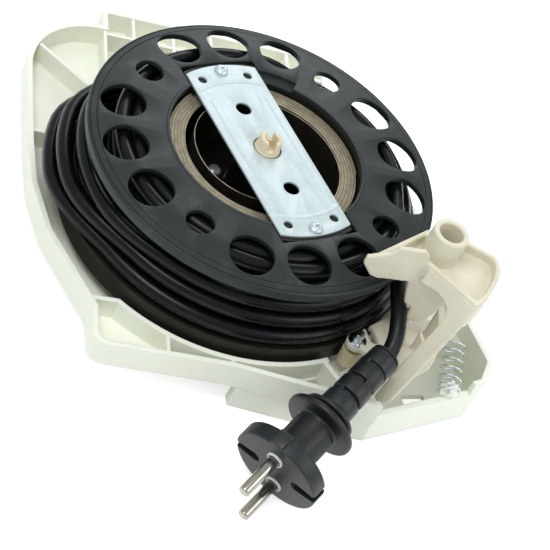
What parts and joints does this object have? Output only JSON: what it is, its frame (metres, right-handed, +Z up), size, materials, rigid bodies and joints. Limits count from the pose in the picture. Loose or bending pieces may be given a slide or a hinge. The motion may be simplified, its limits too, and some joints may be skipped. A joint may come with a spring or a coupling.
{
  "type": "spring cord rewinder",
  "caption": "Spring cord rewinder of a household appliance: cream tray, black drum with a spiral spring, brake lever and round mains plug.",
  "frame": {"origin": "on the drum axis, at the tray base plane", "axes": "+Z up along the drum axis, +X parallel to the tray front edge towards the brake lever, +Y towards the tray back"},
  "size_m": [0.2033, 0.2583, 0.0895],
  "materials": {
    "tray_cream": "satin",
    "lever_cream": "satin",
    "drum_black": "satin",
    "cord_black": "satin",
    "steel": "bright",
    "spring_steel": "oiled",
    "copper": "bright",
    "brass": "bright",
    "white_plastic": "satin",
    "brown_plastic": "matt",
    "roller_rubber": "matt"
  },
  "bodies": {
    "housing": {"tray": "tray_cream", "axle": "tray_cream", "axle_screws": "steel", "thrust_washer": "white_plastic", "spring_arbor": "steel", "brush_holder": "brown_plastic", "holder_screws": "steel", "contact_brushes": "copper", "power_tabs": "brass", "lever_pivot_pin": "steel", "pivot_clip": "steel", "lever_spring": "steel", "return_spring": "steel", "cord_lead": "cord_black", "strain_relief": "cord_black", "plug_moulding": "cord_black", "plug_pins": "brass", "pin_collars": "white_plastic"},
    "drum": {"drum_hub": "drum_black", "slip_ring_carrier": "brown_plastic", "slip_rings": "copper", "carrier_screws": "steel", "upper_flange": "drum_black", "bridge_plate": "steel", "bridge_screws": "steel", "spiral_spring": "spring_steel", "cord_core": "cord_black", "cord_winding": "cord_black"},
    "lever": {"brake_lever": "lever_cream", "roller_pin": "steel", "roller_clip": "steel"},
    "roller": {"brake_roller": "roller_rubber"}
  },
  "joints": [
    {"name": "drum_spin", "type": "hinge", "parent": "housing", "child": "drum", "pos_m": [0, 0, 0.03], "axis": [0, 0, 1], "continuous": true, "deforming": ["spiral_spring", "cord_lead"]},
    {"name": "brake_lever_pivot", "type": "hinge", "parent": "housing", "child": "lever", "pos_m": [0.0643, -0.054, 0.031], "axis": [0, 0, 1], "range_deg": [0, 5], "stiffness_Nm_per_rad": 0.6},
    {"name": "roller_spin", "type": "hinge", "parent": "lever", "child": "roller", "pos_m": [0.04446, -0.06926, 0.0245], "axis": [0, 0, 1], "continuous": true}
  ]
}
